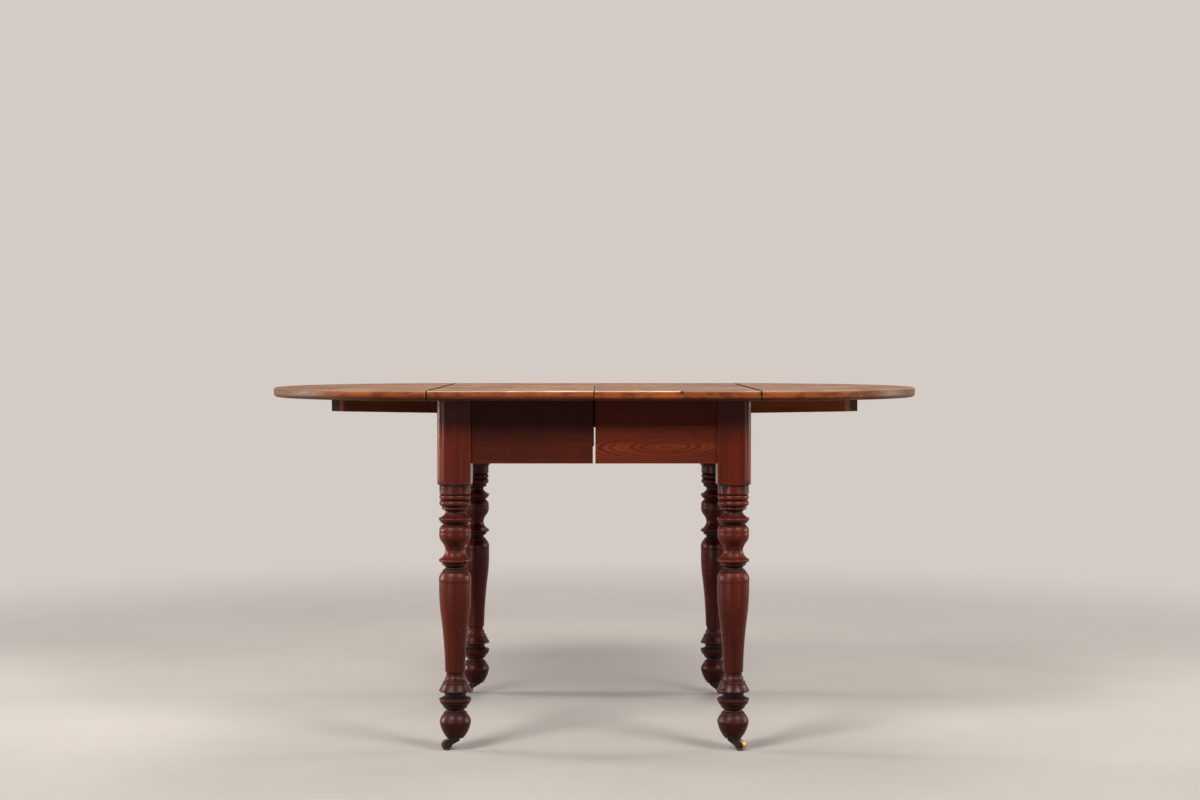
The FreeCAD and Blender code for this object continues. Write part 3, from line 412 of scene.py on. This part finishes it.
def stainedWood(node, kind, along, across, seed, **changes):
    look = {**woodLooks[kind], **changes}
    draw = random.Random(seed)
    material, tree, shader = openMaterial(f"{kind}Wood.{node}")
    low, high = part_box(node)
    turn = Matrix((axes[along], axes[across], axes[along].cross(axes[across])))
    angles = turn.to_euler()
    coords = addNode(tree, "TexCoord").outputs
    placed = {"Vector": coords["Object"], "Location": -(turn @ ((low + high) / 2)), "Rotation": angles}
    laid = addNode(tree, "Mapping", placed).outputs[0]
    away = [draw.uniform(-woodFinish["scatter"], woodFinish["scatter"]) for axis in axes]
    scatter = addNode(tree, "VectorMath", {0: laid, 1: away}, operation="ADD").outputs[0]
    faced = {"Vector": coords["Normal"], "Rotation": angles}
    facing = addNode(tree, "Mapping", faced, vector_type="VECTOR").outputs[0]
    aside = draw.uniform(-woodFinish["aside"], woodFinish["aside"])
    slope = draw.choice((-1, 1))
    figure = useGroup(
        tree, grain, Vector=laid, Scatter=scatter, Normal=facing, Rings=look["rings"],
        Pith_depth=look["depth"], Pith_aside=look.get("aside", aside),
        Lean=look["lean"] * look.get("slope", slope), Wander=look["wander"])
    worn = useGroup(tree, rub, Vector=scatter, Reach=woodFinish["rubReach"])["Rub"]
    grimyAndShaded = useGroup(tree, grimeAndShade, Vector=scatter, Reach=look["grimeAndShadeReach"])["Grime"]
    finish = useGroup(tree, polish, Vector=scatter)

    colour = paint(tree, look, look["early"], [
        (figure["Figure"], look["figure"], "late"), (figure["Streak"], look["streak"], "deep"),
        (figure["Fibre"], shares["fibre"], "late"), (figure["End grain"], shares["ends"], "ends"),
        (figure["Pores"], shares["pores"], "deep")])
    tone = {"Color": colour, "Value": draw.uniform(*look["tones"])}
    colour = addNode(tree, "HueSaturation", tone).outputs[0]
    surface = {
        "place": coords["Object"], "normal": coords["Normal"], "laid": laid, "scatter": scatter,
        "haze": finish["Haze"], "endGrain": figure["End grain"],
        "halfWidth": abs((turn @ (high - low)).y) / 2, "reach": max(abs(low.x), abs(high.x)),
    }
    layers = [(finish["Haze"], look["stains"], "deep"), (worn, shares["rub"], "wearAndGleam")]
    if kind in marksAndPaintedLight:
        layers += marksAndPaintedLight[kind](tree, look, surface)
    sheen = look["sheen"]
    # painted shade in the open joint at the hinges, which also loses its sheen
    if "hinge" in look:
        gapShade = hingeGapShade(tree, look, coords["Object"])
        layers.append((gapShade, shares["hinge"], "dirtAndShade"))
        sheen = times(tree, minus(tree, 1.0, gapShade), look["sheen"])
    # dirt and old wax in the hollows, with painted shade
    layers.append((grimyAndShaded, shares["grimeAndShade"], "dirtAndShade"))
    setInput(tree, shader.inputs["Base Color"], paint(tree, look, colour, layers))
    setInput(tree, shader.inputs["Specular IOR Level"], sheen)

    rough = ease(tree, finish["Haze"], 0, 1, *look["gloss"])
    for mask, cause in ((finish["Scratches"], "scratched"), (worn, "worn"), (grimyAndShaded, "grimedAndShaded"),
                        (figure["End grain"], "sawn")):
        rough = plus(tree, rough, times(tree, mask, woodFinish[cause]))
    setInput(tree, shader.inputs["Roughness"], rough)
    relief = minus(tree, times(tree, figure["Fibre"], woodFinish["fibreRise"]), figure["Pores"])
    setInput(tree, shader.inputs["Normal"], bumped(tree, relief, *woodFinish["bump"]))
    dress(node, material)


# metals of the hinges, casters and screws
metalLooks = {
    "darkIron": {
        "clean": tint(74, 70, 66), "worn": tint(128, 122, 114), "stain": tint(70, 42, 28),
        "gloss": (0.42, 0.62), "metal": 0.85, "stained": (0.5, 0.68),
    },
    "blackenedIron": {
        "clean": tint(46, 42, 39), "worn": tint(112, 102, 92), "stain": tint(58, 38, 27),
        "gloss": (0.4, 0.62), "metal": 0.8, "stained": (0.52, 0.7),
    },
    "steelScrew": {
        "clean": tint(122, 116, 108), "worn": tint(176, 170, 160), "stain": tint(84, 54, 36),
        "gloss": (0.34, 0.52), "metal": 0.9, "stained": (0.5, 0.66),
    },
    "agedBrass": {
        "clean": tint(206, 160, 98), "worn": tint(236, 202, 146), "stain": tint(40, 30, 22),
        "gloss": (0.32, 0.5), "metal": 1.0, "stained": (0.5, 0.7),
    },
}
# what all metals share: the reach of wear and dirt, their noises, and what a stain does
metalFinish = {
    "rubReach": 0.0012, "grimeAndShadeReach": 0.006, "haze": (9, 9, 9), "blotch": (160, 5, 0.62), "hammer": (420, 3),
    "bump": (0.15, 0.0003, 0.0004), "grimedAndShaded": 0.7, "wheelSide": (0.6, 0.9),
    "stained": 0.9, "worn": 0.75, "dulled": 0.7, "roughened": 0.2,
}


# a wheel is bright on its tread, unless it is tarnished, and black on the sides that its axle runs through
def agedMetal(kind, axle=None, tarnish=0.0):
    look = metalLooks[kind]
    material, tree, shader = openMaterial(kind)
    coords = addNode(tree, "TexCoord").outputs
    place = coords["Object"]
    worn = useGroup(tree, rub, Vector=place, Reach=metalFinish["rubReach"])["Rub"]
    grimyAndShaded = useGroup(tree, grimeAndShade, Vector=place, Reach=metalFinish["grimeAndShadeReach"])["Grime"]
    haze = useGroup(tree, polish, Vector=stretch(tree, place, metalFinish["haze"]))["Haze"]
    blotch = ease(tree, cloud(tree, place, *metalFinish["blotch"])[0], *look["stained"])
    stain = larger(tree, blotch, times(tree, grimyAndShaded, metalFinish["grimedAndShaded"]))
    if axle is not None:
        facing = addNode(tree, "VectorMath", {0: coords["Normal"], 1: axle}, operation="DOT_PRODUCT")
        aside = ease(tree, unsigned(tree, facing.outputs["Value"]), *metalFinish["wheelSide"])
        stain = larger(tree, larger(tree, stain, aside), tarnish)
    colour = paint(tree, look, look["clean"], [
        (stain, metalFinish["stained"], "stain"), (worn, metalFinish["worn"], "worn")])
    bare = minus(tree, 1.0, times(tree, stain, metalFinish["dulled"]))
    rough = ease(tree, haze, 0, 1, *look["gloss"])
    rough = plus(tree, rough, times(tree, stain, metalFinish["roughened"]))
    hammered = cloud(tree, place, *metalFinish["hammer"])[0]
    setInput(tree, shader.inputs["Base Color"], colour)
    setInput(tree, shader.inputs["Metallic"], times(tree, bare, look["metal"]))
    setInput(tree, shader.inputs["Roughness"], rough)
    setInput(tree, shader.inputs["Normal"], bumped(tree, hammered, *metalFinish["bump"]))
    return material


# where the figure of each apron is centred and how its tone departs from the others, with painted shade
# under the top on the front left one
flames = {
    "front_left": {"aside": 0.09, "depth": 0.03, "wander": 0.05, "figure": 0.45, "stains": 0.6,
                   "tones": (0.7, 0.7), "upper": (0.6, 0.72)},
    "front_right": {"aside": 0.031, "depth": -0.015, "lean": 0.17, "slope": 1, "rings": 270.0,
                    "wander": 0.032, "streak": 0.3, "tones": (1.12, 1.12), "early": tint(138, 56, 31)},
    "back_left": {"aside": -0.02, "depth": 0.01, "lean": 0.12},
    "back_right": {"aside": 0.09, "depth": 0.03},
    "end": {"lean": 0.12},
}
# the right bar is painted paler still, as painted light
barPaintedLight = {"right": {"early": tint(222, 146, 100), "late": tint(174, 110, 74), "deep": tint(120, 70, 48)}}
# the heights between which each leg darkens towards its foot
footDark = {
    "front_left": (0.3, 0.1), "front_right": (0.46, 0.12),
    "back_left": (0.16, 0.04), "back_right": (0.3, 0.1),
}
# how far the upper edge of each board is rubbed bare, with a painted highlight along it
leafArrisWearAndGleam = {"leaf_inner_board": 0.25, "leaf_outer_board": 0.15}
arrisWearAndGleam = {
    "left": {"top_inner_board": 1.0, "top_outer_board": 0.8, **leafArrisWearAndGleam},
    "right": {"top_inner_board": 1.0, "top_outer_board": 0.3, **leafArrisWearAndGleam},
}
# the heights between which painted shade darkens the edges of the boards
lowEdges = {"left": (0.7335, 0.7265), "right": (0.7295, 0.7235)}
# a chip in the front edge, where the two boards of the right half meet
chip = (0.176, -0.419, 0.737)
# where the seeds of each kind start; end aprons, bars and glue blocks count on from the last board
seeds = {
    "board": 11, "endApron": 40, "bar": 50, "glueBlocks": 60, "leg": 70, "apron": 80, "slide": 90,
    "middleSlide": 100, "dowels": 110, "screws": 200, "pivotScrew": 210,
}
seed = seeds["board"]
for side in sides:
    for part, arris in arrisWearAndGleam[side].items():
        seed += 1
        marks = {"scar": chip} if side == "right" and part.startswith("top") else {}
        stainedWood(f"{side}_{part}", "top", "y", "x", seed, arris=arris, lowEdge=lowEdges[side], **marks)
    stainedWood(f"{side}_end_apron", "apron", "y", "z", seed + seeds["endApron"], **flames["end"])
    stainedWood(f"{side}_support_bar", "bar", "x", "y", seed + seeds["bar"], **barPaintedLight.get(side, {}))
    stainedWood(f"{side}_glue_blocks", "bare", "y", "z", seed + seeds["glueBlocks"])
for number, corner in enumerate(corners):
    stainedWood(f"{corner}_leg", "leg", "z", "x", seeds["leg"] + number, foot=footDark[corner])
    stainedWood(f"{corner}_apron", "apron", "x", "z", seeds["apron"] + number, **flames[corner])
    stainedWood(f"{corner}_slide", "bare", "x", "z", seeds["slide"] + number)
for number, end in enumerate(ends):
    stainedWood(f"{end}_middle_slide", "bare", "x", "z", seeds["middleSlide"] + number)
stainedWood("seam_dowels", "bare", "x", "z", seeds["dowels"])
print("wood finished")

darkIron, blackIron, steel = (agedMetal(kind) for kind in ("darkIron", "blackenedIron", "steelScrew"))
axles = {joint["child"]: Vector(joint["axis"]) for joint in frame["joints"] if "wheel" in joint["name"]}
tarnish = {"front_left": 0.85, "front_right": 0.0, "back_left": 0.5, "back_right": 0.0}
for side in sides:
    for part in ("hinge_fixed_plates", "hinge_leaf_plates", "hinge_pins"):
        dress(f"{side}_{part}", darkIron)
    dress(f"{side}_caster_sockets", blackIron)
    for corner in (f"{end}_{side}" for end in ends):
        dress(f"{corner}_caster_fork", blackIron)
        dress(f"{corner}_caster_axle", blackIron)
        dress(f"{corner}_caster_wheel", agedMetal("agedBrass", axles[f"{corner}_wheel"], tarnish[corner]))
print("metal finished")


def show(name, data):
    thing = bpy.data.objects.new(name, data)
    bpy.context.scene.collection.objects.link(thing)
    return thing


def showMesh(name, mesh):
    data = bpy.data.meshes.new(name)
    mesh.to_mesh(data)
    mesh.free()
    return show(name, data)


# slotted screws in place of the plain ones, each where the frame has it
# slot, collar and point are shares of a radius, base is a share of the height of the head
screwLook = {
    "slot": 0.3, "base": 0.45, "collar": 0.88, "fit": 0.96, "point": 0.6,
    "segments": 20, "rings": 10, "shankSegments": 12, "weld": 1e-6,
}
# height of the head and radius of the shank
screwSizes = {"small": (0.0012, 0.0015), "pivot": (0.0035, 0.003)}


def screwPlaces(node):
    mesh = bmesh.new()
    mesh.from_mesh(cadNodes[node].data)
    bmesh.ops.remove_doubles(mesh, verts=mesh.verts, dist=screwLook["weld"])
    left, places = set(mesh.verts), []
    while left:
        reached, waiting = set(), [left.pop()]
        while waiting:
            vert = waiting.pop()
            reached.add(vert)
            for edge in vert.link_edges:
                other = edge.other_vert(vert)
                if other in left:
                    left.discard(other)
                    waiting.append(other)
        spots = [vert.co for vert in reached]
        low = Vector([min(spot[i] for spot in spots) for i in range(3)])
        high = Vector([max(spot[i] for spot in spots) for i in range(3)])
        places.append((low, high))
    mesh.free()
    return sorted(places, key=lambda place: tuple(place[0]))


def addCone(mesh, segments, lowRadius, highRadius, depth, middle):
    return bmesh.ops.create_cone(
        mesh, cap_ends=True, segments=segments, radius1=lowRadius, radius2=highRadius, depth=depth,
        matrix=Matrix.Translation((0, 0, middle)))["verts"]


def addScrew(mesh, low, high, headHeight, shankRadius, turn):
    radius = (high.x - low.x) / 2
    centre = Vector(((low.x + high.x) / 2, (low.y + high.y) / 2, low.z + headHeight))
    slot = radius * screwLook["slot"] / 2
    made = []
    for cheek in (0, math.pi):
        dome = bmesh.ops.create_uvsphere(
            mesh, u_segments=screwLook["segments"], v_segments=screwLook["rings"], radius=radius)["verts"]
        bmesh.ops.scale(mesh, vec=(1, 1, headHeight / radius), verts=dome)
        for spot, away in (((0, 0, 0), (0, 0, 1)), ((slot, 0, 0), (-1, 0, 0))):
            around = list({edge for vert in dome for edge in vert.link_edges})
            faces = list({face for vert in dome for face in vert.link_faces})
            cutEdges = bmesh.ops.bisect_plane(
                mesh, geom=dome + around + faces, plane_co=spot, plane_no=away, clear_outer=True)["geom_cut"]
            rim = [item for item in cutEdges if isinstance(item, bmesh.types.BMEdge)]
            bmesh.ops.holes_fill(mesh, edges=rim, sides=0)
            dome = [vert for vert in dome if vert.is_valid]
            dome += [item for item in cutEdges if isinstance(item, bmesh.types.BMVert)]
            dome = list(set(dome))
        bmesh.ops.rotate(mesh, verts=dome, cent=(0, 0, 0), matrix=Matrix.Rotation(cheek, 3, "Z"))
        made += dome
    depth = headHeight * screwLook["base"]
    collar = radius * screwLook["collar"]
    made += addCone(mesh, screwLook["segments"], collar, collar, depth, -depth / 2)
    length = high.z - low.z - headHeight
    thin = shankRadius * screwLook["fit"]
    made += addCone(mesh, screwLook["shankSegments"], thin, thin * screwLook["point"], length, length / 2)
    bmesh.ops.rotate(mesh, verts=made, cent=(0, 0, 0), matrix=Matrix.Rotation(turn, 3, "Z"))
    bmesh.ops.translate(mesh, verts=made, vec=centre)


def slottedScrews(node, body, size, seed):
    draw = random.Random(seed)
    mesh = bmesh.new()
    for low, high in screwPlaces(node):
        addScrew(mesh, low, high, *screwSizes[size], draw.uniform(0, math.pi))
    bmesh.ops.recalc_face_normals(mesh, faces=mesh.faces)
    piece = showMesh(f"slotted_{node}", mesh)
    piece.data.materials.append(steel)
    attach(piece, body)
    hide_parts(node)


for number, side in enumerate(sides):
    for part, body in (("underside_screws", "half"), ("hinge_fixed_screws", "half"),
                       ("hinge_leaf_screws", "leaf"), ("caster_screws", "half")):
        slottedScrews(f"{side}_{part}", f"{side}_{body}", "small", seeds["screws"] + number)
    slottedScrews(f"{side}_bar_pivot_screw", f"{side}_leaf", "pivot", seeds["pivotScrew"] + number)
print("screws made")

# pale studio floor, soft lamps and the view of the photograph
stageLook = {
    "floor": (tint(192, 184, 176), tint(186, 178, 170)), "bounce": tint(92, 72, 58),
    "backdrop": tint(212, 203, 197), "sky": 0.06, "size": 60.0, "cells": 4, "fade": (1.1, 3.4),
    "cloud": (1.5, 4), "mottle": (0.3, 0.7), "rough": (0.6, 0.7),
}


def backdropRays(tree):
    ray = addNode(tree, "LightPath").outputs
    mirrored = larger(tree, ray["Is Glossy Ray"], ray["Is Transmission Ray"])
    return larger(tree, ray["Is Camera Ray"], mirrored)


def makeFloor():
    mesh = bmesh.new()
    cells = stageLook["cells"]
    bmesh.ops.create_grid(mesh, x_segments=cells, y_segments=cells, size=stageLook["size"])
    floor = showMesh("studioFloor", mesh)
    material, tree, shader = openMaterial("paleFloor")
    place = addNode(tree, "TexCoord").outputs["Object"]
    mottle = ease(tree, cloud(tree, place, *stageLook["cloud"])[0], *stageLook["mottle"])
    seen = backdropRays(tree)
    colour = mixTint(tree, seen, stageLook["bounce"], mixTint(tree, mottle, *stageLook["floor"]))
    setInput(tree, shader.inputs["Base Color"], colour)
    setInput(tree, shader.inputs["Roughness"], ease(tree, mottle, 0, 1, *stageLook["rough"]))
    setInput(tree, shader.inputs["Specular IOR Level"], 0.0)
    # the floor runs out into the backdrop some way from the table
    away = addNode(tree, "VectorMath", {0: place}, operation="LENGTH").outputs["Value"]
    faded = times(tree, ease(tree, away, *stageLook["fade"]), seen)
    glow = addNode(tree, "Emission", {"Color": stageLook["backdrop"]})
    both = addNode(tree, "MixShader", {0: faded, 1: shader.outputs[0], 2: glow.outputs[0]})
    tree.links.new(both.outputs[0], tree.nodes["Material Output"].inputs["Surface"])
    floor.data.materials.append(material)


def makeWorld():
    world = bpy.data.worlds.new("studio")
    bpy.context.scene.world = world
    world.use_nodes = True
    tree = world.node_tree
    back = tree.nodes["Background"]
    setInput(tree, back.inputs["Color"], stageLook["backdrop"])
    setInput(tree, back.inputs["Strength"], ease(tree, backdropRays(tree), 0, 1, stageLook["sky"], 1.0))


# the strips only give the legs their gleam
lamps = {
    "leftKey": {"at": (-2.2, -3.0, 3.9), "to": (0, -0.1, 0.55), "size": (1.4, 1.4), "power": 180},
    "rightKey": {"at": (2.5, -2.7, 3.7), "to": (0, -0.1, 0.55), "size": (1.4, 1.4), "power": 126},
    "leftStrip": {"at": (-2.1, -3.1, 0.75), "to": (-0.3, -0.36, 0.5), "size": (0.12, 1.6), "power": 42,
                  "gleam": True},
    "rightStrip": {"at": (2.4, -2.9, 0.75), "to": (0.3, -0.36, 0.5), "size": (0.12, 1.6), "power": 18,
                   "gleam": True},
    "leftSide": {"at": (-3.2, 0.5, 1.0), "to": (0, 0.2, 0.4), "size": (0.8, 1.2), "power": 13, "spread": 70},
    "rightSide": {"at": (3.2, 0.6, 1.0), "to": (0, 0.2, 0.4), "size": (0.8, 1.2), "power": 8, "spread": 70},
    "ceiling": {"at": (0, 0.6, 3.6), "to": (0, 0, 0.6), "size": (2.4, 2.4), "power": 20},
    "behind": {"at": (0.4, 2.4, 4.0), "to": (0, 0, 0.5), "size": (1.6, 1.6), "power": 60},
}
openSpread = 180


def makeLamps():
    gleaming = bpy.data.collections.new("polishedLegs")
    for corner in corners:
        gleaming.objects.link(cadNodes[f"{corner}_leg"])
    for name, lamp in lamps.items():
        data = bpy.data.lights.new(name, "AREA")
        data.shape = "RECTANGLE"
        data.size, data.size_y = lamp["size"]
        data.energy = lamp["power"]
        data.spread = math.radians(lamp.get("spread", openSpread))
        thing = show(name, data)
        if lamp.get("gleam"):
            thing.visible_diffuse = False
            thing.light_linking.receiver_collection = gleaming
        thing.location = lamp["at"]
        sight = Vector(lamp["to"]) - Vector(lamp["at"])
        thing.rotation_euler = sight.to_track_quat("-Z", "Y").to_euler()


viewLook = {"at": (0.012, -4.336, 0.830), "drop": 1.58, "lens": 58.74, "sensor": 36.0}


def makeCamera():
    data = bpy.data.cameras.new("photoView")
    data.sensor_width = viewLook["sensor"]
    data.lens = viewLook["lens"]
    camera = show("photoView", data)
    camera.location = viewLook["at"]
    camera.rotation_euler = (math.radians(90 - viewLook["drop"]), 0, 0)
    bpy.context.scene.camera = camera


makeFloor()
makeWorld()
makeLamps()
makeCamera()
bpy.context.scene.view_settings.view_transform = "Standard"
print("stage, lamps and camera set")
